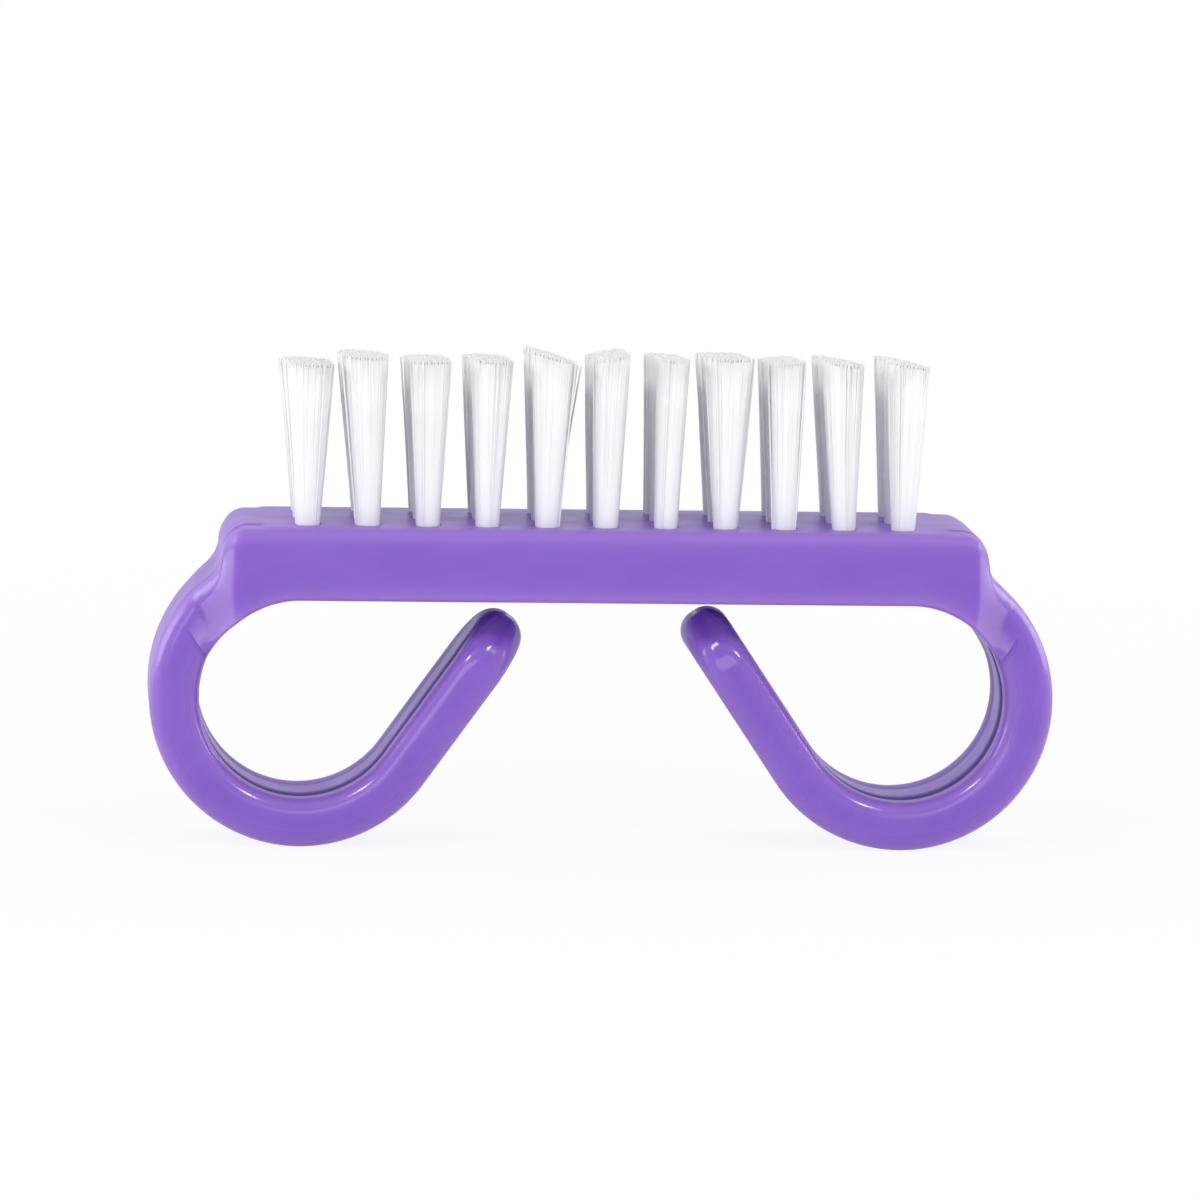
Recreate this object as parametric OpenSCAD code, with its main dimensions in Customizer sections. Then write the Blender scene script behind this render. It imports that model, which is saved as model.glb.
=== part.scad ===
// Nail brush with two finger loops: a one-piece moulded body, three rows of
// folded bristle tufts in blind holes, and a flat wire anchor in each fold.
// It stands on its loops with the bristles up. X runs along the block, Y from
// front to back and Z up, and the origin is on the ground below its middle.

/* [Bristle block] */
// Length of the block between its two end faces
block_l = 76; // [74:0.5:80]
// Depth of the block from front to back
block_w = 20; // [18:0.5:26]
// Thickness of the block
block_h = 7.2; // [6.6:0.2:10]
// Rounding of the block's upper edges
block_edge_r = 1.1; // [0.5:0.1:1.4]
// Rounding of the block's lower edges
block_under_r = 0.5; // [0.3:0.1:1]

/* [Finger loops] */
// Clear diameter of each finger loop
loop_bore_d = 20.2; // [19.4:0.1:22]
// Distance between the centres of the two loops
loop_spacing = 59.9; // [59:0.1:61]
// How far a loop's full circle would rise above the block's underside
bore_rise = 0.05; // [0.05:0.05:0.6]
// Thickness of the strap that forms the loops
strap_t = 4.95; // [4.2:0.05:5.2]
// Width of the strap from front to back
strap_w = 13.8; // [11:0.1:15]
// Rounding of the strap's long edges
strap_edge_r = 1.6; // [0.8:0.1:1.8]
// Lean of the right inner arm from upright, in degrees
right_lean_a = 34; // [30:0.5:38]
// Lean of the left inner arm, which has sprung a little further over
left_lean_a = 35.5; // [30:0.5:38]
// Straight length of the right inner arm, before its domed tip
right_arm_l = 12.1; // [8:0.1:12.4]
// Straight length of the left inner arm, before its domed tip
left_arm_l = 12.2; // [8:0.1:12.5]

/* [Bristles] */
// Tufts along the block
tufts_long = 11; // [3:1:11]
// Rows of tufts from front to back
tuft_rows = 3; // [1:1:3]
// Distance from one tuft to the next, both ways
tuft_pitch = 5.9; // [5.6:0.1:6]
// Diameter of each tuft hole
tuft_hole_d = 2.5; // [2:0.1:3]
// Depth of each tuft hole
tuft_hole_h = 4.8; // [4:0.1:5.6]
// Height of the trimmed bristles above the block
trim_h = 16.8; // [10:0.1:22]
// Diameter of a tuft at its trimmed top
tuft_top_d = 4.4; // [3.4:0.1:5.2]

/* [Wire anchors] */
// Thickness of the flat wire
anchor_t = 0.4; // [0.25:0.05:0.5]
// Height of the flat wire
anchor_h = 1.6; // [1.2:0.1:1.8]
// How far each end of a wire bites into the wall of its hole
anchor_bite = 0.25; // [0.1:0.05:0.4]

/* [Hidden] */
row_names = ["front", "middle", "back"];
place_names = ["01", "02", "03", "04", "05", "06", "07", "08", "09", "10", "11"];
function tuft_name(row, place) = str("tuft_", row_names[row], "_", place_names[place]);

$fn = 72;
cut_over = 1;

// Levels and radii that follow from the sizes above
bore_r = loop_bore_d / 2;
outer_r = bore_r + strap_t;
mid_r = bore_r + strap_t / 2;
loop_x = loop_spacing / 2;
loop_z = outer_r;
loop_c = [loop_x, loop_z];
loop_drop = bore_r - bore_rise;
under_z = loop_z + loop_drop;
top_z = under_z + block_h;
end_x = block_l / 2;

// Shoulder: the front face stops short of the end face, and from there the
// block narrows to a crease that runs aslant over the strap's side
face_setback = 1.7;
throat_share = 0.9;
end_corner_r = 2.8;
crease_outer_a = 37;
crease_inner_a = 23;
shoulder_end_a = 17;
strap_start_a = 24;
strap_seat = 0.04;
even_share = 0.2;
tip_share = 0.44;
tip_edge_share = 0.9;
tip_span_share = 0.6;
tip_end_a = 3;
tip_steps = 10;
flat_steps = 4;
curve_steps = 6;
corner_steps = 3;

// Anchors, and the bristles folded under them
fold_h = 0.7;
wire_gap = 0.04;
anchor_turn_a = 45;
hole_floor_z = top_z - tuft_hole_h;
anchor_z = hole_floor_z + fold_h;
anchor_l = tuft_hole_d + 2 * anchor_bite;

// Tufts: a root that fills the hole, and locks of bristles that spread upwards
root_gap = 0.04;
root_sink = 0.3;
lock_sink = 0.3;
root_d = tuft_hole_d - 2 * root_gap;
root_top_z = top_z - root_sink;
ring_locks = [3, 9];
ring_shares = [0.3, 0.78];
lock_share = 0.21;
root_share = 0.92;
spread_shares = [1.1, 1, 1.05, 0.98, 0.95, 0.83, 0.85, 1.03, 0.87, 0.91, 0.97];
lean_shares = [-0.03, -0.06, -0.02, 0.01, 0.02, 0.05, 0.06, 0.04, 0, -0.03, 0.03];
trim_shares = [0.97, 1.01, 0.985, 0.995, 1.015, 1.015, 1.01, 1.01, 1, 1, 1];
slant_shares = [-0.01, -0.012, -0.002, -0.008, -0.03, 0.018, -0.017, 0, 0, -0.015, -0.01];
row_trim_shares = [1, 0.98, 0.96];

function mix(from, to, share) = from + (to - from) * share;
function polar(r, a) = [r * cos(a), r * sin(a)];
function arc(centre, r, from_a, to_a, steps) =
    [for (i = [0:steps]) centre + polar(r, mix(from_a, to_a, i / steps))];
function in_3d(p, y) = [p[0], y, p[1]];

// Outline of a rectangle with rounded corners, centred on the origin
function rounded_box(w, h, r) = [
    for (side = [[1, 1, 0], [-1, 1, 90], [-1, -1, 180], [1, -1, 270]])
        for (p = arc([side[0] * (w / 2 - r), side[1] * (h / 2 - r)],
                     r, side[2], side[2] + 90, corner_steps)) p
];

// Outer curve of the shoulder: from the edge of the front face over the top
// corner, down the end face, round the hollow beside it and on along the loop's
// outer circle to the crease
face_x = end_x - face_setback;
skin_r = outer_r + strap_seat;
hollow_z = top_z - end_corner_r;
hollow_dx = end_x - loop_x;
hollow_dz = hollow_z - loop_z;
hollow_r = (hollow_dx * hollow_dx + hollow_dz * hollow_dz - skin_r * skin_r)
    / (2 * (skin_r - hollow_dx));
hollow_c = [end_x + hollow_r, hollow_z];
hollow_a = atan2(hollow_dz, hollow_dx + hollow_r);
face_outer_a = acos((face_x - end_x + end_corner_r) / end_corner_r);
corner_c = [end_x - end_corner_r, hollow_z];
crease_curve = concat(
    arc(corner_c, end_corner_r, face_outer_a, 0, curve_steps),
    [for (p = arc(hollow_c, hollow_r, 180, 180 + hollow_a, curve_steps))
        if (p[1] < hollow_z) p],
    [for (i = [1:curve_steps])
        loop_c + polar(skin_r, mix(hollow_a, crease_outer_a, i / curve_steps))]
);

// Inner curve of the shoulder, by angle: a fillet leads from the underside
// into the circle of the bore
bore_skin_r = bore_r - strap_seat;
throat_r = bore_r * throat_share;
throat_dx = sqrt(pow(bore_skin_r - throat_r, 2) - pow(loop_drop - throat_r, 2));
throat_c = [loop_x + throat_dx, under_z - throat_r];
throat_a = atan2(loop_drop - throat_r, throat_dx);
function inner_point(a) = a > throat_a
    ? throat_c + polar(throat_r, a)
    : loop_c + polar(bore_skin_r, a);
function inner_below(x) = inner_point(acos((x - loop_x) / bore_skin_r));
face_inner_a = acos((face_x - loop_x) / bore_skin_r);
corner_inner_a = acos((corner_c[0] - loop_x) / bore_skin_r);

// A station across the body: its outer and inner points in the XZ plane, half
// its width, and the rounding of its outer and inner edges
function block_station(outer, inner) =
    [outer, inner, block_w / 2, block_edge_r, block_under_r];
function shoulder_station(i) = let (
        last = len(crease_curve) - 1,
        outer = crease_curve[i],
        reach = (outer[0] - face_x) / (crease_curve[last][0] - face_x),
        narrowing = mix(reach, i / last, even_share)
    ) [
        outer,
        inner_point(mix(face_inner_a, crease_inner_a, narrowing)),
        mix(block_w / 2, strap_w / 2 + strap_seat, narrowing),
        mix(block_edge_r, strap_edge_r, narrowing),
        mix(block_under_r, strap_edge_r, narrowing)
    ];
function neck_station(share) = [
    loop_c + polar(skin_r, mix(crease_outer_a, shoulder_end_a, share)),
    inner_point(mix(crease_inner_a, shoulder_end_a, share)),
    strap_w / 2 + strap_seat, strap_edge_r, strap_edge_r
];
half_stations = concat(
    [for (i = [0:curve_steps - 1])
        block_station([mix(throat_c[0], corner_c[0], i / curve_steps), top_z],
                      inner_point(mix(90, corner_inner_a, i / curve_steps)))],
    [for (p = arc(corner_c, end_corner_r, 90, face_outer_a, corner_steps))
        if (p[0] < face_x) block_station(p, inner_below(p[0]))],
    [for (i = [0:len(crease_curve) - 1]) shoulder_station(i)],
    [for (i = [1:curve_steps]) neck_station(i / curve_steps)]
);
function mirrored(s) =
    [[-s[0][0], s[0][1]], [-s[1][0], s[1][1]], s[2], s[3], s[4]];
stations = concat(
    [for (i = [len(half_stations) - 1:-1:0]) mirrored(half_stations[i])],
    half_stations
);

// Points round one station, from its outer point by the front and the back
function station_points(s) = let (
        along = (s[0] - s[1]) / norm(s[0] - s[1]),
        corners = [
            [s[0] - along * s[3], s[2] - s[3], s[3], 0],
            [s[1] + along * s[4], s[2] - s[4], s[4], 90],
            [s[1] + along * s[4], s[4] - s[2], s[4], 180],
            [s[0] - along * s[3], s[3] - s[2], s[3], 270]
        ]
    ) [
        for (c = corners, i = [0:corner_steps]) let (a = c[3] + 90 * i / corner_steps)
            in_3d(c[0] + along * c[2] * cos(a), -c[1] - c[2] * sin(a))
    ];

// A closed skin over a row of rings that have the same number of points
module skin(rings) {
    n = len(rings[0]);
    last = n * (len(rings) - 1);
    polyhedron(
        points = [for (ring = rings) for (p = ring) p],
        faces = concat(
            [for (i = [1:n - 2]) [0, i, i + 1]],
            [for (i = [1:n - 2]) [last, last + i + 1, last + i]],
            [for (k = [0:n:last - n], i = [0:n - 1]) [k + i, k + n + i, k + (i + 1) % n]],
            [for (k = [0:n:last - n], i = [0:n - 1])
                [k + (i + 1) % n, k + n + i, k + n + (i + 1) % n]]
        )
    );
}

strap_outline = rounded_box(strap_t, strap_w, strap_edge_r);

// Domed tip of an arm. Seen across the strap its outline ends in two quarter
// circles, and near that outline the thickness rounds down as on a fingertip
nose_r = strap_t / 2;
half_w = strap_w / 2;
tip_r = strap_w * tip_share;
edge_share = strap_edge_r / half_w;
across_shares = concat(
    [for (i = [0:corner_steps]) edge_share - 1 - edge_share * cos(90 * i / corner_steps)],
    [for (i = [1:flat_steps - 1]) (1 - edge_share) * mix(-1, 1, i / flat_steps)],
    [for (i = [0:corner_steps]) 1 - edge_share + edge_share * sin(90 * i / corner_steps)]
);
function tip_half_t(along, across) = let (
        r = mix(strap_edge_r, nose_r * tip_edge_share, min(1, along / (tip_r * tip_span_share))),
        aside = max(0, abs(across) - half_w + tip_r),
        to_outline = tip_r - norm([along, aside])
    ) nose_r - r + sqrt(max(0, pow(r, 2) - pow(max(0, r - to_outline), 2)));
function tip_ring(a) = [
    for (side = [1, -1], share = across_shares) let (
            along = tip_r * sin(a),
            across = side * share * (half_w - tip_r + tip_r * cos(a))
        ) [side * tip_half_t(along, across), across, along]
];
tip_rings = [for (i = [0:tip_steps]) tip_ring(mix(0, 90 - tip_end_a, i / tip_steps))];

// A loop as it lies on the right, drawn from where the arc meets the straight inner arm:
// the arc on one side of that plane, and the arm with its tip on the other
module finger_loop(lean_a, arm_l) {
    arc_start_a = lean_a - 180;
    translate([loop_x, 0, loop_z]) rotate([90, 0, 0]) rotate([0, 0, arc_start_a]) {
        rotate_extrude(angle = strap_start_a - arc_start_a)
            translate([mid_r, 0]) polygon(strap_outline);
        translate([mid_r, 0, 0]) rotate([90, 0, 0]) {
            linear_extrude(arm_l) polygon(strap_outline);
            translate([0, 0, arm_l]) skin(tip_rings);
        }
    }
}

function tuft_x(place) = (place - (tufts_long - 1) / 2) * tuft_pitch;
function tuft_y(row) = (row - (tuft_rows - 1) / 2) * tuft_pitch;

module each_tuft() {
    for (row = [0:tuft_rows - 1], place = [0:tufts_long - 1])
        translate([tuft_x(place), tuft_y(row), 0]) children();
}

// The wire of one anchor, or the slot that it lies in, with a gap all round
module wire(gap) {
    translate([0, 0, anchor_z - gap]) rotate([0, 0, anchor_turn_a])
        translate([-anchor_l / 2 - gap, -anchor_t / 2 - gap, 0])
            cube([anchor_l + 2 * gap, anchor_t + 2 * gap, anchor_h + 2 * gap]);
}

// One moulding: the block with its shoulders, and the two finger loops
module body() {
    color("mediumpurple") difference() {
        union() {
            skin([for (s = stations) station_points(s)]);
            finger_loop(right_lean_a, right_arm_l);
            mirror([1, 0, 0]) finger_loop(left_lean_a, left_arm_l);
        }
        each_tuft() {
            translate([0, 0, hole_floor_z]) cylinder(d = tuft_hole_d, h = tuft_hole_h + cut_over);
            wire(wire_gap);
        }
    }
}

module tuft_anchors() {
    color("silver") each_tuft() wire(0);
}

// One tuft: its root in the hole, slotted for the wire, and its locks
module tuft(row, place) {
    top_r = tuft_top_d / 2 * spread_shares[place];
    foot_r = root_d / 2 * root_share;
    lean = tuft_pitch * lean_shares[place];
    trim = trim_h * trim_shares[place] * row_trim_shares[row];
    slant = trim_h * slant_shares[place];
    foot_z = root_top_z - lock_sink;
    color("whitesmoke") translate([tuft_x(place), tuft_y(row), 0]) {
        difference() {
            translate([0, 0, hole_floor_z + root_gap])
                cylinder(d = root_d, h = root_top_z - hole_floor_z - root_gap);
            wire(wire_gap);
        }
        for (ring = [0:len(ring_locks) - 1], i = [0:ring_locks[ring] - 1]) {
            turn = 360 * (i + row / tuft_rows) / ring_locks[ring];
            at = polar(ring_shares[ring], turn);
            top_at = at * top_r + [lean, 0];
            top_h = top_z + trim + slant * at[0];
            skin([
                [for (p = lock_outline(turn)) [
                    foot_r * (at[0] + p[0]), foot_r * (at[1] + p[1]), foot_z]],
                [for (p = lock_outline(turn)) [
                    top_at[0] + top_r * p[0], top_at[1] + top_r * p[1], top_h]]
            ]);
        }
    }
}
function lock_outline(turn) =
    [for (corner = [0:3]) polar(lock_share, turn + 90 * corner)];

body();
tuft_anchors();
for (row = [0:tuft_rows - 1], place = [0:tufts_long - 1])
    tuft(row, place);
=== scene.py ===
import math

import bmesh
import bpy
import numpy as np
from mathutils import Matrix, Vector


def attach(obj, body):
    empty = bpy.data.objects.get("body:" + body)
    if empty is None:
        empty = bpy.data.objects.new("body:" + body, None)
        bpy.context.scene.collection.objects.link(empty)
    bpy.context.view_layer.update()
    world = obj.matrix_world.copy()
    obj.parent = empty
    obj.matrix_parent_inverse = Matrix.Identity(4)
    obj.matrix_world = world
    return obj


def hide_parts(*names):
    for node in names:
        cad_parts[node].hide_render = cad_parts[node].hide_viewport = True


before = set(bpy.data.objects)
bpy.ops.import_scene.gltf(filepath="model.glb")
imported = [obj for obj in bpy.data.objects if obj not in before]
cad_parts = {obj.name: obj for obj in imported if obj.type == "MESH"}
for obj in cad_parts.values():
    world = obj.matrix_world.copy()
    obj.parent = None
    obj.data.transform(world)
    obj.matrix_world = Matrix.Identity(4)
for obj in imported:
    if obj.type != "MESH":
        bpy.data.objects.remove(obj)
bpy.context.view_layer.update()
print("frame loaded:", len(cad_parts), "nodes")

mm = 0.001  # sizes below are in millimetres, meshes in metres


# Small helpers

def mix(a, b, share):
    # straight line from a to b
    return a + (b - a) * share


def smooth(t):
    # 0 below 0, 1 above 1, and 3t^2 - 2t^3 between
    t = np.clip(t, 0, 1)
    return t * t * (3 - 2 * t)


def softRamp(t, soft):
    # 0 for t below -soft, t for t above soft, and a parabola between
    bend = (t + soft) ** 2 / (4 * soft)
    return np.where(t < -soft, 0, np.where(t > soft, t, bend))


def softMax(a, b, soft):
    # the larger of a and b, with the corner between them rounded
    return b + softRamp(a - b, soft)


def onCircle(centre, radius, degrees):
    # points at the given angles on a circle in the XZ plane
    turn = np.radians(np.asarray(degrees, float))
    return np.stack([centre[0] + radius * np.cos(turn), centre[1] + radius * np.sin(turn)], -1)


def meshFrom(name, points, faces, material, closeGap=0.0, masks=None):
    # mesh from points in millimetres, with a value per point in each mask; doubles nearer than closeGap are
    # merged and normals turned out
    mesh = bpy.data.meshes.new(name)
    mesh.from_pydata((points * mm).tolist(), [], faces)
    for key, values in (masks or {}).items():
        mesh.attributes.new(key, "FLOAT", "POINT").data.foreach_set("value", values)
    if closeGap:
        work = bmesh.new()
        work.from_mesh(mesh)
        bmesh.ops.remove_doubles(work, verts=work.verts, dist=closeGap * mm)
        bmesh.ops.dissolve_degenerate(work, edges=work.edges, dist=closeGap * mm)
        bmesh.ops.recalc_face_normals(work, faces=work.faces)
        work.to_mesh(mesh)
        work.free()
    mesh.polygons.foreach_set("use_smooth", [True] * len(mesh.polygons))
    mesh.materials.append(material)
    piece = bpy.data.objects.new(name, mesh)
    bpy.context.scene.collection.objects.link(piece)
    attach(piece, "root")
    return piece


# Camera, at the photograph's angle

view = {
    "azimuth": -4.3, "elevation": 7.27, "roll": 1.0625,  # degrees
    "distance": 750, "lens": 225.34, "sensor": 36, "aim": (-0.057, -0.105, 24.248),  # millimetres
    "clip": (0.01, 20),  # metres
}


def placeCamera(v):
    # looks at the aim along the azimuth and elevation, then rolls about its own axis
    a, e, r = (math.radians(v[k]) for k in ("azimuth", "elevation", "roll"))
    back = Vector((math.sin(a) * math.cos(e), -math.cos(a) * math.cos(e), math.sin(e)))
    level = Vector((math.cos(a), math.sin(a), 0))
    upright = back.cross(level)
    side = level * math.cos(r) + upright * math.sin(r)
    up = upright * math.cos(r) - level * math.sin(r)
    data = bpy.data.cameras.new("camera")
    data.lens, data.sensor_width = v["lens"], v["sensor"]
    data.clip_start, data.clip_end = v["clip"]
    camera = bpy.data.objects.new("camera", data)
    turn = Matrix((side, up, back)).transposed().to_4x4()
    turn.translation = (Vector(v["aim"]) + back * v["distance"]) * mm
    camera.matrix_world = turn
    bpy.context.scene.collection.objects.link(camera)
    bpy.context.scene.camera = camera


placeCamera(view)
print("camera placed")


# Materials

noiseSpan = (0.3, 0.7)  # where the noise mostly lies


def newMaterial(name):
    # an empty material, its node tree and its shader
    material = bpy.data.materials.new(name)
    material.use_nodes = True
    tree = material.node_tree
    return material, tree, tree.nodes["Principled BSDF"]


def mottleGroup():
    # shared effect: noise drawn out along an axis, as a mask from 0 to 1 and as a value from Low to High
    group = bpy.data.node_groups.new("mottle", "ShaderNodeTree")
    for name, kind, start in (("Vector", "NodeSocketVector", None), ("Stretch", "NodeSocketVector", (1, 1, 1)),
                              ("Scale", "NodeSocketFloat", 100), ("Detail", "NodeSocketFloat", 2),
                              ("Low", "NodeSocketFloat", 0), ("High", "NodeSocketFloat", 1)):
        socket = group.interface.new_socket(name, in_out="INPUT", socket_type=kind)
        if start is not None:
            socket.default_value = start
    for name in ("Mask", "Value"):
        group.interface.new_socket(name, in_out="OUTPUT", socket_type="NodeSocketFloat")
    enter, leave = group.nodes.new("NodeGroupInput"), group.nodes.new("NodeGroupOutput")
    drawn = group.nodes.new("ShaderNodeVectorMath")
    drawn.operation = "MULTIPLY"
    noise = group.nodes.new("ShaderNodeTexNoise")
    mask = group.nodes.new("ShaderNodeMapRange")
    mask.inputs["From Min"].default_value, mask.inputs["From Max"].default_value = noiseSpan
    value = group.nodes.new("ShaderNodeMapRange")
    link = group.links.new
    link(enter.outputs["Vector"], drawn.inputs[0])
    link(enter.outputs["Stretch"], drawn.inputs[1])
    link(drawn.outputs["Vector"], noise.inputs["Vector"])
    link(enter.outputs["Scale"], noise.inputs["Scale"])
    link(enter.outputs["Detail"], noise.inputs["Detail"])
    link(noise.outputs["Fac"], mask.inputs["Value"])
    link(mask.outputs["Result"], value.inputs["Value"])
    link(enter.outputs["Low"], value.inputs["To Min"])
    link(enter.outputs["High"], value.inputs["To Max"])
    link(mask.outputs["Result"], leave.inputs["Mask"])
    link(value.outputs["Result"], leave.inputs["Value"])
    return group


mottle = mottleGroup()


def mottleOf(tree, coords, scale, detail, stretch=(1, 1, 1), low=0.0, high=1.0):
    # the shared group placed on Object coordinates
    node = tree.nodes.new("ShaderNodeGroup")
    node.node_tree = mottle
    settings = {"Scale": scale, "Detail": detail, "Stretch": stretch, "Low": low, "High": high}
    for name, value in settings.items():
        node.inputs[name].default_value = value
    tree.links.new(coords.outputs["Object"], node.inputs["Vector"])
    return node.outputs


def valueMix(tree, factor, first, second):
    # straight line from first to second by the factor
    node = tree.nodes.new("ShaderNodeMix")
    node.inputs["B"].default_value = second
    tree.links.new(factor, node.inputs["Factor"])
    tree.links.new(first, node.inputs["A"])
    return node.outputs["Result"]


def colourMix(tree, factor, first, second):
    # straight line from first to second by the factor; first is a colour or a socket
    node = tree.nodes.new("ShaderNodeMix")
    node.data_type = "RGBA"
    node.inputs["B"].default_value = (*second, 1)
    tree.links.new(factor, node.inputs["Factor"])
    if isinstance(first, tuple):
        node.inputs["A"].default_value = (*first, 1)
    else:
        tree.links.new(first, node.inputs["A"])
    return node.outputs["Result"]


def bumpOf(tree, height, strength, distance):
    # a height over the surface turned into its normal
    node = tree.nodes.new("ShaderNodeBump")
    node.inputs["Strength"].default_value = strength
    node.inputs["Distance"].default_value = distance
    tree.links.new(height, node.inputs["Height"])
    return node.outputs["Normal"]


plastic = {
    "deep": (0.198, 0.077, 0.502), "milky": (0.220, 0.092, 0.532),
    "cloudScale": 110, "cloudDetail": 3, "cloudStretch": (1, 1, 2),
    # the third colour is painted light for edges and shoulder facets, the fourth painted shade for the seam
    # groove
    "paintedLight": (0.330, 0.195, 0.560), "seamShade": (0.070, 0.042, 0.190), "seamRough": 0.9,
    "shine": (0.35, 0.43), "polished": 0.13, "shineScale": 260, "shineDetail": 2,
    "waveScale": 380, "waveDetail": 1, "waveStrength": 0.5, "waveHeight": 0.00003,
    "index": 1.49, "depthWeight": 0.5, "depthRadius": (1.6, 0.8, 2.0),
}


def bodyPlastic(p):
    # moulded purple plastic: cloudy flow, painted light at the edges and on the shoulder facets, painted shade
    # in the seam groove, uneven satin gloss that fingers have polished, a faint wave, and light that sinks in
    material, tree, shader = newMaterial("bodyPlastic")
    coords = tree.nodes.new("ShaderNodeTexCoord")
    cloud = mottleOf(tree, coords, p["cloudScale"], p["cloudDetail"], p["cloudStretch"])
    gloss = mottleOf(tree, coords, p["shineScale"], p["shineDetail"], (1, 1, 1), *p["shine"])
    wave = mottleOf(tree, coords, p["waveScale"], p["waveDetail"])
    link = tree.links.new
    masks = {}
    for name in ("seamShade", "polish", "paintedLight"):
        masks[name] = tree.nodes.new("ShaderNodeAttribute")
        masks[name].attribute_name = name
    colour = colourMix(tree, cloud["Mask"], p["deep"], p["milky"])
    # painted light: edges and shoulder facets are coloured paler, as if lit
    colour = colourMix(tree, masks["paintedLight"].outputs["Fac"], colour, p["paintedLight"])
    # painted shade: the seam groove is coloured dark, and its roughness is raised so it shows no reflection
    colour = colourMix(tree, masks["seamShade"].outputs["Fac"], colour, p["seamShade"])
    rough = valueMix(tree, masks["polish"].outputs["Fac"], gloss["Value"], p["polished"])
    rough = valueMix(tree, masks["seamShade"].outputs["Fac"], rough, p["seamRough"])
    link(colour, shader.inputs["Base Color"])
    link(rough, shader.inputs["Roughness"])
    link(bumpOf(tree, wave["Mask"], p["waveStrength"], p["waveHeight"]), shader.inputs["Normal"])
    shader.inputs["IOR"].default_value = p["index"]
    shader.inputs["Subsurface Weight"].default_value = p["depthWeight"]
    shader.inputs["Subsurface Radius"].default_value = p["depthRadius"]
    shader.inputs["Subsurface Scale"].default_value = mm
    return material


nylon = {
    "white": (0.855, 0.855, 0.87), "grey": (0.825, 0.825, 0.85),
    "shine": (0.3, 0.5), "streakScale": 1500, "streakDetail": 2, "streakStretch": (1, 1, 0.04),
}


def nylonMaterial(p):
    # white filaments: streaks drawn out along Z, satin
    material, tree, shader = newMaterial("nylon")
    coords = tree.nodes.new("ShaderNodeTexCoord")
    streak = mottleOf(tree, coords, p["streakScale"], p["streakDetail"], p["streakStretch"], *p["shine"])
    link = tree.links.new
    link(colourMix(tree, streak["Mask"], p["white"], p["grey"]), shader.inputs["Base Color"])
    link(streak["Value"], shader.inputs["Roughness"])
    return material


steel = {
    "dark": (0.50, 0.49, 0.47), "bright": (0.66, 0.65, 0.62),
    "shine": (0.25, 0.45), "lineScale": 4000, "lineDetail": 2, "lineStretch": (1, 1, 8),
}


def wireMaterial(p):
    # drawn steel with lines along its length
    material, tree, shader = newMaterial("anchorWire")
    coords = tree.nodes.new("ShaderNodeTexCoord")
    lines = mottleOf(tree, coords, p["lineScale"], p["lineDetail"], p["lineStretch"], *p["shine"])
    link = tree.links.new
    link(colourMix(tree, lines["Mask"], p["dark"], p["bright"]), shader.inputs["Base Color"])
    link(lines["Value"], shader.inputs["Roughness"])
    shader.inputs["Metallic"].default_value = 1
    return material


purple = bodyPlastic(plastic)
white = nylonMaterial(nylon)
wire = wireMaterial(steel)
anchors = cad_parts["tuft_anchors"]
for slot in anchors.material_slots:
    slot.material = wire
print("materials made")


# Body: one section carried from the tip of the left arm over the block to the tip of the right one

body = {
    # block
    "endX": 38.0, "halfDepth": 10.0, "topZ": 32.3, "underZ": 25.1,
    "topRound": 1.1, "underRound": 0.5, "endRound": 2.8,
    # loops and arms
    "loopX": 29.95, "loopZ": 15.05, "boreR": 10.1, "outerR": 15.05,
    "strapHalf": 6.9, "strapRound": 1.6, "throatR": 9.09,
    "rightLean": 34.0, "leftLean": 35.5, "rightArm": 12.1, "leftArm": 12.2,
    # shoulder: the face's end, the facet's width by height, the gusset, and where the crease lies
    "faceX": 36.7, "faceLean": 0.06, "faceLeanZ": 28, "cornerSoft": 0.45, "foldStart": 0.4,
    "facetZ": [20.0, 22.5, 23.5, 24.9, 25.9, 27.4, 28.9, 30.4],
    "facetWide": [2.8, 2.9, 3.4, 4.2, 4.0, 3.0, 1.95, 1.35],
    "blendOuter": 0.4, "blendInner": 0.9, "gussetRise": 0.38, "gussetFrom": 0.15,
    "foldX": 40.1, "creaseOuter": 34.5, "creaseInner": 23.0, "neckAngle": 9.0,
    "foldShare": 0.42, "creaseLead": 3.5, "creaseGap": 0.3, "creaseSteps": [-0.15, 0, 0.1, 0.3],
    # step line on the block's top and mould seam on the straps
    "bandHalf": 5.9, "bandRim": 0.4, "bandDrop": 0.14, "bandStep": 0.4, "bandStartX": 33.4,
    "bandLead": 0.8, "bandFade": 1.2, "stepFade": 0.9, "stepRoom": 1.2,
    # the last number scales the painted shade in the seam on the back
    "seamDepth": 0.12, "seamIn": 1.9, "seamWide": 3.0, "seamShadeBack": 0.3,
    # tips
    "tipR": 6.072, "tipEdge": 0.9, "tipSpan": 0.6, "tipSteps": 26, "tipTurn": 89,
    # masks for the material
    "polishX": 17.0, "polishFade": 5, "wornEdge": 0.9, "wornFacet": 0.3, "wornRise": 6,
    "wornRings": 4, "wornBack": 0.2,
    # painted light: how pale the colour is near the rounded edges, and how far in that reaches
    "paintedEdgeLight": 0.5, "paintedLightFlat": 0.5, "paintedLightReach": 0.8,
    # painted light on the shoulder facet, which faces the side lamp
    "paintedFacetLight": 0.75, "paintedLightSoft": 0.4, "paintedLightFoot": 0.05, "paintedLightTop": 0.1,
    # mesh
    "curvePoints": (91, 61, 121), "pastCrease": 9, "mergeGap": 0.002, "sharpAngle": 40,
}
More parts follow.
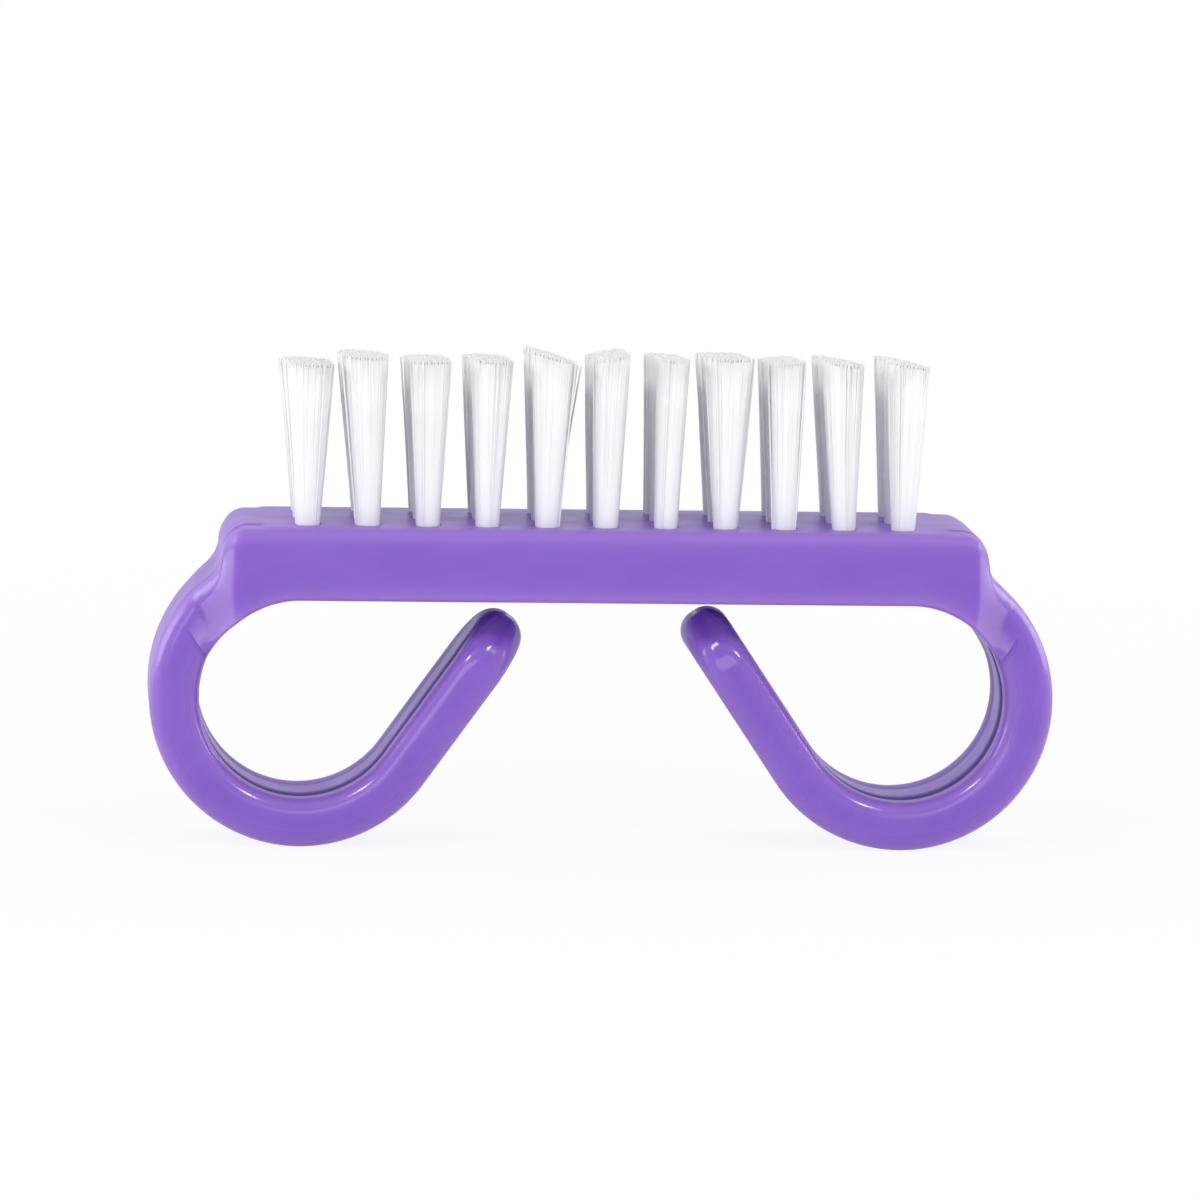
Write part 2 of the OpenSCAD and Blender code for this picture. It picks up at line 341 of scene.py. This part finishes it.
tufts = {
    "columns": 11, "rows": 3, "pitch": 5.9, "holeR": 1.25, "holeDepth": 4.8, "rim": 0.12,
    "cellSteps": 10, "patchShares": (0.4, 0.75, 1.0), "rimTurns": (30, 60, 90), "wallShares": (0.35, 1.0),
}
section = {"band": 10, "step": 3, "flank": 2, "round": 6, "side": 16, "inside": 6}  # steps round a section
stationCounts = {  # points along each stretch of the body, its first one counted
    "end": 8, "corner": 14, "arc": 17, "hollow": 17, "neck": 11, "crease": 13, "ring": 56, "arm": 14,
}


def outerCurve(b):
    # down the shoulder's outside: corner arc, end face, hollow arc, then the loop's circle; a dense line
    corner = (b["endX"] - b["endRound"], b["topZ"] - b["endRound"])
    dx, dz = b["endX"] - b["loopX"], corner[1] - b["loopZ"]
    hollowR = (dx * dx + dz * dz - b["outerR"] ** 2) / (2 * (b["outerR"] - dx))
    hollowTurn = math.degrees(math.atan2(dz, dx + hollowR))
    loop = (b["loopX"], b["loopZ"])
    arcCount, hollowCount, ringCount = b["curvePoints"]
    arc = onCircle(corner, b["endRound"], np.linspace(90, 0, arcCount))
    hollowTurns = np.linspace(180, 180 + hollowTurn, hollowCount)
    hollow = onCircle((b["endX"] + hollowR, corner[1]), hollowR, hollowTurns)
    ring = onCircle(loop, b["outerR"], np.linspace(hollowTurn, b["neckAngle"], ringCount))
    return np.concatenate([arc, hollow[1:], ring[1:]])


def innerPoint(b, degrees):
    # by angle: a fillet from the underside, then the bore's circle
    lift = b["underZ"] - b["loopZ"] - b["throatR"]
    shift = math.sqrt((b["boreR"] - b["throatR"]) ** 2 - lift ** 2)
    meet = math.degrees(math.atan2(lift, shift))
    fillet = onCircle((b["loopX"] + shift, b["underZ"] - b["throatR"]), b["throatR"], degrees)
    bore = onCircle((b["loopX"], b["loopZ"]), b["boreR"], degrees)
    return np.where(np.asarray(degrees)[:, None] > meet, fillet, bore)


def halfStations(b, count, lean, arm):
    # stations from the middle of the block to the start of the tip, as columns: outer x, outer z, inner x,
    # inner z, and the share of the way from the block's end (0) to the crease (1); past it the share is larger
    lift = b["underZ"] - b["loopZ"] - b["throatR"]
    throatX = b["loopX"] + math.sqrt((b["boreR"] - b["throatR"]) ** 2 - lift ** 2)
    step = tufts["pitch"] / tufts["cellSteps"]
    fieldX = tufts["columns"] * tufts["pitch"] / 2
    cornerX = b["endX"] - b["endRound"]
    foldStart = b["faceX"] + b["foldStart"]
    x = np.concatenate([
        np.arange(0, fieldX + step / 2, step),
        np.linspace(fieldX, cornerX, count["end"])[1:],
        np.linspace(cornerX, foldStart, count["corner"])[1:],
    ])
    over = np.clip(x - cornerX, 0, None)
    outerZ = b["topZ"] - b["endRound"] + np.sqrt(b["endRound"] ** 2 - over ** 2)
    turn = np.degrees(np.arccos(np.clip((x - throatX) / b["throatR"], 0, 1)))
    inner = np.where(x[:, None] < throatX, np.stack([x, 0 * x + b["underZ"]], -1), innerPoint(b, turn))
    outer = np.stack([x, outerZ], -1)

    line = outerCurve(b)
    run = np.concatenate([[0], np.cumsum(np.linalg.norm(np.diff(line, axis=0), axis=1))])
    loopTurn = np.degrees(np.arctan2(line[:, 1] - b["loopZ"], line[:, 0] - b["loopX"]))
    last = b["curvePoints"][0] - 1
    marks = [
        np.interp(foldStart, line[:last + 1, 0], run[:last + 1]),
        run[last],
        run[last + np.argmax(line[last:, 0] > b["foldX"])],
        run[np.argmax(loopTurn < b["creaseOuter"])],
        run[-1],
    ]
    crease = b["creaseInner"]
    turns = [turn[-1], mix(turn[-1], crease, b["foldShare"]), crease + b["creaseLead"], crease, b["neckAngle"]]
    near = b["creaseGap"]
    at = np.concatenate([
        np.linspace(marks[0], marks[1], count["arc"])[1:],
        np.linspace(marks[1], marks[2], count["hollow"])[1:],
        np.linspace(marks[2], marks[3] - near, count["neck"])[1:],
        marks[3] + np.array(b["creaseSteps"]),
        np.linspace(marks[3] + near, marks[4], count["crease"])[1:],
    ])
    shoulderOut = np.stack([np.interp(at, run, line[:, 0]), np.interp(at, run, line[:, 1])], -1)
    shoulderIn = innerPoint(b, np.interp(at, marks, turns))

    loop = (b["loopX"], b["loopZ"])
    rest = np.linspace(b["neckAngle"], lean - 180, count["ring"])[1:]
    ringOut, ringIn = onCircle(loop, b["outerR"], rest), onCircle(loop, b["boreR"], rest)
    ahead = np.array([math.sin(math.radians(lean - 180)), -math.cos(math.radians(lean - 180))])
    straight = np.linspace(0, arm, count["arm"])[1:, None] * ahead
    outer = np.concatenate([outer, shoulderOut, ringOut, ringOut[-1] + straight])
    inner = np.concatenate([inner, shoulderIn, ringIn, ringIn[-1] + straight])

    past = np.full(len(rest) + len(straight), b["pastCrease"])
    share = np.concatenate([0 * x, (at - marks[0]) / (marks[3] - marks[0]), past])
    return np.column_stack([outer, inner, share]), ahead


def sideHalf(b, x, z, v, share):
    # half depth of the side at (x, z), v from 0 at the outer edge to 1 at the bore: the block's face, then a
    # facet from its end corner down to the strap's face, wider lower down; near the bore that face stays a
    # little proud up to the crease, where share is 1
    corner = b["faceX"] + b["faceLean"] * (z - b["faceLeanZ"])
    wide = np.interp(z, b["facetZ"], b["facetWide"])
    fall = b["halfDepth"] - (b["halfDepth"] - b["strapHalf"]) * softRamp(x - corner, b["cornerSoft"]) / wide
    proud = b["strapHalf"] + b["gussetRise"] * smooth((v - b["gussetFrom"]) / (1 - b["gussetFrom"]))
    blend = mix(b["blendOuter"], b["blendInner"], smooth(v))
    return np.where(share > 1, b["strapHalf"], np.minimum(softMax(fall, proud, blend), b["halfDepth"]))


def sectionPoints(b, s, stations):
    # half a section from the outer middle to the inner one, as depth below the outer point and half depth Y:
    # flat with a step or a fine seam, rounded edge, side, rounded edge, flat inside; then three masks: painted
    # shade along the inner seam, how far hands have polished edges and tips, and painted light at the edges
    # and on the shoulder facet
    outer, inner, share = stations[:, 0:2], stations[:, 2:4], stations[:, 4:5]
    along = inner - outer
    length = np.linalg.norm(along, axis=1)[:, None]
    along = along / length
    grow = smooth(share)
    roundOut = mix(b["topRound"], b["strapRound"], grow)
    roundIn = mix(b["underRound"], b["strapRound"], grow)

    def halfAt(c, v):
        # half depth of the side at depth c below the outer point
        return sideHalf(b, np.abs(outer[:, 0:1] + along[:, 0:1] * c), outer[:, 1:2] + along[:, 1:2] * c,
                        v, share)

    halfOut, halfIn = halfAt(roundOut, 0), halfAt(length - roundIn, 1)
    flat, flatIn = halfOut - roundOut, halfIn - roundIn
    x = np.abs(outer[:, 0:1])
    started = np.where(share > 1, 1, smooth((x - b["bandStartX"] + b["bandLead"]) / b["bandFade"]))
    onTop = started * (share <= 1) * (outer[:, 1:2] > b["topZ"] - b["endRound"])
    onStrap = started * (1 - onTop)
    edge = np.minimum(b["bandHalf"], flat - b["bandRim"])
    count = s["band"] + s["step"] + s["flank"]
    even = np.arange(count + 1) / count * flat
    ramp = np.arange(1, s["step"] + 1)[None, :] / s["step"]
    stepped = np.concatenate([
        np.linspace(0, 1, s["band"] + 1)[None, :] * (edge - b["bandStep"] / 2),
        edge + b["bandStep"] * (ramp - 0.5),
        mix(edge + b["bandStep"] / 2, flat, np.arange(1, s["flank"] + 1)[None, :] / s["flank"]),
    ], axis=1)
    bandY = mix(even, stepped, started)
    room = smooth((flat - b["bandHalf"]) / b["stepRoom"])
    fade = onTop * smooth((x - b["bandStartX"]) / b["stepFade"]) * room
    seamShade = np.zeros(count + 1)
    seamShade[s["band"] + 1:s["band"] + s["step"]] = b["seamDepth"]
    bandC = b["bandDrop"] * fade * smooth((bandY - edge) / b["bandStep"] + 0.5) + onStrap * seamShade
    drop = bandC[:, -1:]
    turn = np.linspace(0, math.pi / 2, s["round"] + 1)[None, 1:]
    edgeC, edgeY = drop + roundOut * (1 - np.cos(turn)), flat + roundOut * np.sin(turn)
    v = np.arange(1, s["side"])[None, :] / s["side"]
    sideC = mix(drop + roundOut, length - roundIn, v)
    lowC, lowY = length - roundIn + roundIn * np.sin(turn), flatIn + roundIn * np.cos(turn)
    edgeIn = np.minimum(b["bandHalf"], flatIn - b["seamIn"])
    insideY = np.concatenate([
        mix(flatIn, edgeIn + b["seamWide"] / 2, np.arange(1, s["flank"] + 1)[None, :] / s["flank"]),
        edgeIn + b["seamWide"] * (0.5 - ramp),
        (edgeIn - b["seamWide"] / 2) * (1 - np.arange(1, s["inside"] + 1)[None, :] / s["inside"]),
    ], axis=1)
    insideC = np.tile(length, (1, insideY.shape[1]))
    insideC[:, s["flank"]:s["flank"] + s["step"] - 1] -= onStrap * b["seamDepth"]
    c = np.concatenate([bandC, edgeC, sideC, length - roundIn, lowC, insideC], axis=1)
    y = np.concatenate([bandY, edgeY, halfAt(sideC, v), halfIn, lowY, insideY], axis=1)
    line, worn, paintedLight = (np.zeros(c.shape) for k in range(3))
    start, end = count + 1 + s["round"], c.shape[1] - insideC.shape[1]
    # mask for the painted shade along the inner seam groove
    line[:, end + s["flank"]:end + s["flank"] + s["step"] - 1] = onStrap
    worn[:, start - b["wornRings"]:start] = b["wornEdge"] * grow
    worn[:, end - s["round"]:end - s["round"] + b["wornRings"]] = b["wornEdge"] * grow
    worn[:, start:end - s["round"]] = b["wornFacet"] * smooth(share * b["wornRise"]) * (share <= 1)
    rubbed = (share > 1) * smooth((b["polishX"] - x) / b["polishFade"])
    worn[:, start - b["wornRings"]:end - s["round"] + b["wornRings"]] += rubbed
    # painted light: the colour is paler near the rounded edges, standing in for the light they catch
    near = np.minimum(c, length - c)[:, start - s["round"]:end]
    near = np.clip(near - b["paintedLightFlat"], 0, None)
    paintedLight[:, start - s["round"]:end] = b["paintedEdgeLight"] * np.exp(-near / b["paintedLightReach"])
    # painted light on the shoulder facet between the strap's face and the block's face, where the side lamp
    # falls
    slope = y[:, start:end - s["round"]]
    above = smooth((slope - b["strapHalf"] - b["paintedLightFoot"]) / b["paintedLightSoft"])
    below = smooth((b["halfDepth"] - slope - b["paintedLightTop"]) / b["paintedLightSoft"])
    paintedLight[:, start:end - s["round"]] += b["paintedFacetLight"] * above * below
    return c, y, np.clip(np.stack([line, worn, paintedLight]), 0, 1)


def carried(stations, c, y):
    # grid of points: each half section set on its station, front side
    outer, inner = stations[:, None, 0:2], stations[:, None, 2:4]
    along = (outer - inner) / np.linalg.norm(outer - inner, axis=2)[..., None]
    at = outer - along * c[..., None]
    return np.stack([at[..., 0], -y, at[..., 1]], -1)


def tipPoints(b, station, c, y, ahead):
    # domed tip: the strap's outline ends in two quarter circles, and its half thickness at a point falls
    # as a quarter circle with the distance to that outline
    wide, thick, r = b["strapHalf"], (b["outerR"] - b["boreR"]) / 2, b["tipR"]
    turn = np.radians(np.linspace(0, b["tipTurn"], b["tipSteps"] + 1))[1:, None]
    reach, across = r * np.sin(turn), (wide - r + r * np.cos(turn)) * (y / wide)
    edge = mix(b["strapRound"], thick * b["tipEdge"], np.clip(reach / (r * b["tipSpan"]), 0, 1))
    room = np.clip(edge - r + np.hypot(reach, np.clip(np.abs(across) - wide + r, 0, None)), 0, edge)
    half = thick - edge + np.sqrt(edge ** 2 - room ** 2)
    side = np.clip((thick - c) / (thick - b["strapRound"]), -1, 1)
    outer, inner = station[0:2], station[2:4]
    lifted = (half * side)[..., None] * (outer - inner) / (2 * thick)
    at = (outer + inner) / 2 + reach[..., None] * ahead + lifted
    return np.stack([at[..., 0], -across, at[..., 1]], -1)


def holePatch(border, centre, t, z):
    # rings from a cell's square border to the hole's rim, round the rim and down the wall to the floor
    away = border[:, :2] - centre
    facing = away / np.linalg.norm(away, axis=1)[:, None]
    rimR = t["holeR"] + t["rim"]
    rings = [border]
    for share in t["patchShares"]:
        flat = centre + mix(away, facing * rimR, share)
        rings.append(np.column_stack([flat, np.full(len(flat), z)]))
    for degrees in t["rimTurns"]:
        a = math.radians(degrees)
        flat = centre + facing * (rimR - t["rim"] * math.sin(a))
        rings.append(np.column_stack([flat, np.full(len(flat), z - t["rim"] * (1 - math.cos(a)))]))
    for depth in t["wallShares"]:
        flat = centre + facing * t["holeR"]
        rings.append(np.column_stack([flat, np.full(len(flat), z - t["holeDepth"] * depth)]))
    return rings


def makeBody(b, t, s, count):
    # both halves' sections and domed tips joined into closed rings, the back a mirror of the front, and the
    # tufts' field cut out of the top and filled with drilled cells
    halves, halfMasks = [], []
    for stations, ahead in (halfStations(b, count, b["rightLean"], b["rightArm"]),
                            halfStations(b, count, b["leftLean"], b["leftArm"])):
        c, y, mask = sectionPoints(b, s, stations)
        tip = tipPoints(b, stations[-1], c[-1], y[-1], ahead)
        halves.append(np.concatenate([carried(stations, c, y), tip]))
        tipMask = np.repeat(mask[:, -1:], b["tipSteps"], axis=1)
        # the painted seam shade fades out over the tip
        tipMask[0] *= np.linspace(1, 0, b["tipSteps"])[:, None]
        halfMasks.append(np.concatenate([mask, tipMask], axis=1))
    flip = np.array([-1, 1, 1])
    grid = np.concatenate([halves[1][:0:-1] * flip, halves[0]])
    back = grid[:, -2:0:-1] * np.array([1, -1, 1])
    rings = np.concatenate([grid, back], axis=1)
    mask = np.concatenate([halfMasks[1][:, :0:-1], halfMasks[0]], axis=1)
    # the painted seam shade is weaker on the back
    backMask = mask[:, :, -2:0:-1] * np.array([b["seamShadeBack"], b["wornBack"], 1])[:, None, None]
    mask = np.concatenate([mask, backMask], axis=2).reshape(3, -1)
    rows, around = rings.shape[:2]
    index = np.arange(rows * around).reshape(rows, around)
    middle = len(halves[1]) - 1
    flat = s["band"] + s["step"] + s["flank"]
    reach = t["columns"] * t["cellSteps"] // 2
    nextIndex = np.roll(index, -1, axis=1)
    quads = np.stack([index[:-1], index[1:], nextIndex[1:], nextIndex[:-1]], -1)
    keep = np.ones(quads.shape[:2], bool)
    keep[middle - reach:middle + reach, :flat] = False
    keep[middle - reach:middle + reach, around - flat:] = False
    faces = quads[keep].tolist() + [index[0].tolist(), index[-1].tolist()]
    points = [rings.reshape(-1, 3)]
    total = rows * around
    across = np.concatenate([np.arange(around - flat, around), np.arange(0, flat + 1)])[::-1]
    field = index[middle - reach:middle + reach + 1][:, across]
    n = t["cellSteps"]
    for column in range(t["columns"]):
        for row in range(t["rows"]):
            cell = field[column * n:column * n + n + 1, row * n:row * n + n + 1]
            border = np.concatenate([cell[0, :-1], cell[:-1, -1], cell[-1, :0:-1], cell[:0:-1, 0]])
            centre = np.array([(column - (t["columns"] - 1) / 2) * t["pitch"],
                               (row - (t["rows"] - 1) / 2) * t["pitch"]])
            made = holePatch(rings.reshape(-1, 3)[border], centre, t, b["topZ"])
            added = total + np.arange((len(made) - 1) * len(border)).reshape(-1, len(border))
            ringIndex = [border, *added]
            points += made[1:]
            total += added.size
            for low, high in zip(ringIndex[:-1], ringIndex[1:]):
                faces += np.stack([low, np.roll(low, -1), np.roll(high, -1), high], -1).tolist()
            faces.append(ringIndex[-1].tolist())
    points = np.concatenate(points)
    plain = np.zeros(len(points) - mask.shape[1])
    # the first mask paints shade into the seam, the last paints light onto edges and facets
    masks = {key: np.append(values, plain) for key, values in zip(("seamShade", "polish", "paintedLight"), mask)}
    piece = meshFrom("brushBody", points, faces, purple, b["mergeGap"], masks)
    piece.data.set_sharp_from_angle(angle=math.radians(b["sharpAngle"]))
    return piece


bodyPiece = makeBody(body, tufts, section, stationCounts)
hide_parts("body")
print("body made:", len(bodyPiece.data.polygons), "faces")


# Tufts: bundles of nylon filaments, trimmed on top

rowNames = ["front", "middle", "back"]
filaments = {
    "count": 300, "radius": 0.115, "sides": 4, "packR": 1.2,
    "seed": 7, "rowSeed": 100, "goldenTurn": 137.508, "turnSpan": 6.28,
    "coreShare": 0.985, "coreSides": 24, "coreShort": 0.3, "tallest": 17.42,
    "levels": [0.0, 0.3, 0.65, 1.0], "rootDepth": 4.3,
    "rough": 0.03, "splay": 0.022, "bow": 0.03, "strays": 2, "strayShare": 1.13,
    "halfY": 2.1, "rowDrop": [0.1, 0.45, 0.85], "rowShift": 0.12,
}
# by column, from the photograph: where the top starts and ends in X over the foot, and its height at both
tops = [
    (-2.35, 2.45, 16.20, 15.95), (-2.75, 1.85, 16.95, 16.75), (-2.15, 2.20, 16.45, 16.50),
    (-1.95, 2.40, 16.70, 16.45), (-1.90, 2.50, 17.60, 16.42), (-1.50, 2.20, 16.65, 17.40),
    (-1.25, 2.15, 16.95, 16.75), (-2.40, 2.50, 17.05, 17.00), (-1.90, 1.90, 16.50, 16.80),
    (-2.70, 1.80, 16.95, 16.40), (-2.00, 2.35, 17.05, 16.25),
]
# the same by row and column, for a hidden tuft that leans out from behind
ownTops = {(1, 4): (-1.30, 3.35, 16.80, 15.85)}


def makeTuft(row, column, f, t):
    # filaments on a sunflower pattern: straight up the hole, then spreading evenly to the slanted cut
    rng = np.random.default_rng(f["seed"] + f["rowSeed"] * row + column)
    n = f["count"]
    k = np.arange(n)
    turn = k * math.radians(f["goldenTurn"]) + rng.uniform(0, f["turnSpan"])
    out = np.sqrt((k + 0.5) / n)
    out[-f["strays"]:] *= f["strayShare"]
    root = np.stack([out * np.cos(turn), out * np.sin(turn)], -1)
    left, right, leftZ, rightZ = ownTops.get((row, column), tops[column])
    left, right = np.array([left, right]) + (row > 0) * rng.normal(0, f["rowShift"], 2)
    half = np.array([(right - left) / 2, f["halfY"]]) - f["radius"]
    top = root * half + np.array([(left + right) / 2, 0]) + rng.normal(0, f["splay"], (n, 2))
    height = mix(leftZ, rightZ, (top[:, 0] - left) / (right - left)) - f["rowDrop"][row]
    height = np.minimum(height + rng.normal(0, f["rough"], n), f["tallest"])
    foot = root * (f["packR"] - f["radius"])
    levels = np.array(f["levels"])
    bow = rng.normal(0, f["bow"], (n, 2)) * (4 * levels * (1 - levels))[:, None, None]
    path = np.concatenate([foot[None], mix(foot, top, levels[:, None, None]) + bow])
    z = np.concatenate([np.full((1, n), -f["rootDepth"]), levels[:, None] * height]) + body["topZ"]
    corner = rng.uniform(0, f["turnSpan"], n)[:, None] + np.arange(f["sides"]) * 2 * math.pi / f["sides"]
    ring = np.stack([np.cos(corner), np.sin(corner)], -1) * f["radius"]
    footPlace = np.array([column - (t["columns"] - 1) / 2, row - (t["rows"] - 1) / 2]) * t["pitch"]
    at = path[:, :, None] + ring + footPlace
    points = np.concatenate([at, np.broadcast_to(z[:, :, None, None], at.shape[:3] + (1,))], -1)
    index = np.arange(points[..., 0].size).reshape(points.shape[:3])
    turned = np.roll(index, -1, axis=2)
    walls = np.stack([index[:-1], turned[:-1], turned[1:], index[1:]], -1).reshape(-1, 4)
    faces = walls.tolist() + index[-1].tolist() + index[0][:, ::-1].tolist()

    # the core: one closed cone inside the filaments, a little shorter, so no light shows through them
    spin = np.linspace(0, 2 * math.pi, f["coreSides"], endpoint=False)
    rim = np.stack([np.cos(spin), np.sin(spin)], -1) * f["coreShare"]
    coreFoot, coreTop = rim * f["packR"], rim * half + np.array([(left + right) / 2, 0])
    coreHeight = mix(leftZ, rightZ, (coreTop[:, 0] - left) / (right - left))
    coreHeight = coreHeight - f["rowDrop"][row] - f["coreShort"]
    corePath = np.concatenate([coreFoot[None], mix(coreFoot, coreTop, levels[:, None, None])]) + footPlace
    coreZ = np.concatenate([np.full((1, len(spin)), -f["rootDepth"]), levels[:, None] * coreHeight])
    core = np.concatenate([corePath, coreZ[..., None] + body["topZ"]], -1)
    coreIndex = index.size + np.arange(core[..., 0].size).reshape(core.shape[:2])
    turned = np.roll(coreIndex, -1, axis=1)
    faces += np.stack([coreIndex[:-1], turned[:-1], turned[1:], coreIndex[1:]], -1).reshape(-1, 4).tolist()
    faces += [coreIndex[-1].tolist(), coreIndex[0][::-1].tolist()]
    points = np.concatenate([points.reshape(-1, 3), core.reshape(-1, 3)])

    place = f"{rowNames[row]}_{column + 1:02d}"
    piece = meshFrom("bristles_" + place, points, faces, white)
    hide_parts("tuft_" + place)


for row in range(tufts["rows"]):
    for column in range(tufts["columns"]):
        makeTuft(row, column, filaments, tufts)
print("tufts made:", tufts["rows"] * tufts["columns"])


# Floor, light and background

studio = {
    "floorSize": 6.0, "floorColour": (0.94, 0.94, 0.94), "nearShare": 0.88, "fadeStart": 0.05, "fadeEnd": 0.3,
    "floorRough": 0.9, "floorShine": 0.1, "dayLight": 0.54, "lampAim": (0, 0, 0.03),
}
lamps = {  # place in metres, width and height of the panel, radiance
    "left": {"place": (-0.80, 0.08, 0.26), "width": 0.75, "height": 0.36, "radiance": 3.7},
    "right": {"place": (0.80, 0.14, 0.26), "width": 0.75, "height": 0.36, "radiance": 3.5},
    "keyLeft": {"place": (-0.58, -0.75, 0.74), "width": 0.15, "height": 0.20, "radiance": 27.0},
    "keyRight": {"place": (0.50, -0.78, 0.74), "width": 0.15, "height": 0.20, "radiance": 27.0},
    "fill": {"place": (-0.20, -1.00, 0.20), "width": 0.70, "height": 0.34, "radiance": 2.2},
}


def shareNode(tree, operation, *values):
    # a Math node with its inputs linked or filled in
    node = tree.nodes.new("ShaderNodeMath")
    node.operation = operation
    for socket, value in zip(node.inputs, values):
        if isinstance(value, (int, float)):
            socket.default_value = value
        else:
            tree.links.new(value, socket)
    return node.outputs[0]


def makeFloor(s):
    # a pale sheet; plain white is mixed in for camera and mirror rays, less of it near the brush,
    # so the shadow stays and the sheet runs out to white
    mesh = bpy.data.meshes.new("floor")
    half = s["floorSize"] / 2
    corners = [(-half, -half, 0), (half, -half, 0), (half, half, 0), (-half, half, 0)]
    mesh.from_pydata(corners, [], [(0, 1, 2, 3)])
    floor = bpy.data.objects.new("floor", mesh)
    bpy.context.scene.collection.objects.link(floor)
    material, tree, shader = newMaterial("paleFloor")
    shader.inputs["Base Color"].default_value = (*s["floorColour"], 1)
    shader.inputs["Roughness"].default_value = s["floorRough"]
    shader.inputs["Specular IOR Level"].default_value = s["floorShine"]
    glow = tree.nodes.new("ShaderNodeEmission")
    ray = tree.nodes.new("ShaderNodeLightPath")
    coords = tree.nodes.new("ShaderNodeTexCoord")
    away = tree.nodes.new("ShaderNodeVectorMath")
    away.operation = "LENGTH"
    fade = tree.nodes.new("ShaderNodeMapRange")
    for name, value in (("From Min", s["fadeStart"]), ("From Max", s["fadeEnd"]), ("To Min", s["nearShare"])):
        fade.inputs[name].default_value = value
    blend = tree.nodes.new("ShaderNodeMixShader")
    link = tree.links.new
    link(coords.outputs["Object"], away.inputs[0])
    link(away.outputs["Value"], fade.inputs["Value"])
    seen = shareNode(tree, "ADD", ray.outputs["Is Camera Ray"], ray.outputs["Is Glossy Ray"])
    seen = shareNode(tree, "ADD", seen, ray.outputs["Is Transmission Ray"])
    link(shareNode(tree, "MULTIPLY", seen, fade.outputs["Result"]), blend.inputs["Fac"])
    link(shader.outputs[0], blend.inputs[1])
    link(glow.outputs[0], blend.inputs[2])
    link(blend.outputs[0], tree.nodes["Material Output"].inputs["Surface"])
    mesh.materials.append(material)


def makeWorld(s):
    # plain white for what the camera and the gloss see, a softer white for the light itself
    world = bpy.data.worlds.new("studio")
    bpy.context.scene.world = world
    world.use_nodes = True
    tree = world.node_tree
    ray = tree.nodes.new("ShaderNodeLightPath")
    seen = shareNode(tree, "ADD", ray.outputs["Is Camera Ray"], ray.outputs["Is Glossy Ray"])
    seen = shareNode(tree, "ADD", seen, ray.outputs["Is Transmission Ray"])
    mixer = tree.nodes.new("ShaderNodeMix")
    mixer.inputs["A"].default_value = s["dayLight"]
    mixer.inputs["B"].default_value = 1
    back = tree.nodes["Background"]
    back.inputs["Color"].default_value = (1, 1, 1, 1)
    tree.links.new(seen, mixer.inputs["Factor"])
    tree.links.new(mixer.outputs["Result"], back.inputs["Strength"])


def softbox(name, lamp, aim):
    # a panel turned towards the aim; its power is radiance times pi times area
    data = bpy.data.lights.new(name, "AREA")
    data.shape, data.size, data.size_y = "RECTANGLE", lamp["width"], lamp["height"]
    data.energy = lamp["radiance"] * math.pi * lamp["width"] * lamp["height"]
    box = bpy.data.objects.new(name, data)
    box.location = lamp["place"]
    box.rotation_euler = (Vector(aim) - Vector(lamp["place"])).to_track_quat("-Z", "Y").to_euler()
    bpy.context.scene.collection.objects.link(box)


makeFloor(studio)
makeWorld(studio)
for name, lamp in lamps.items():
    softbox(name + "Lamp", lamp, studio["lampAim"])
bpy.context.scene.view_settings.view_transform = "Standard"
print("studio made")
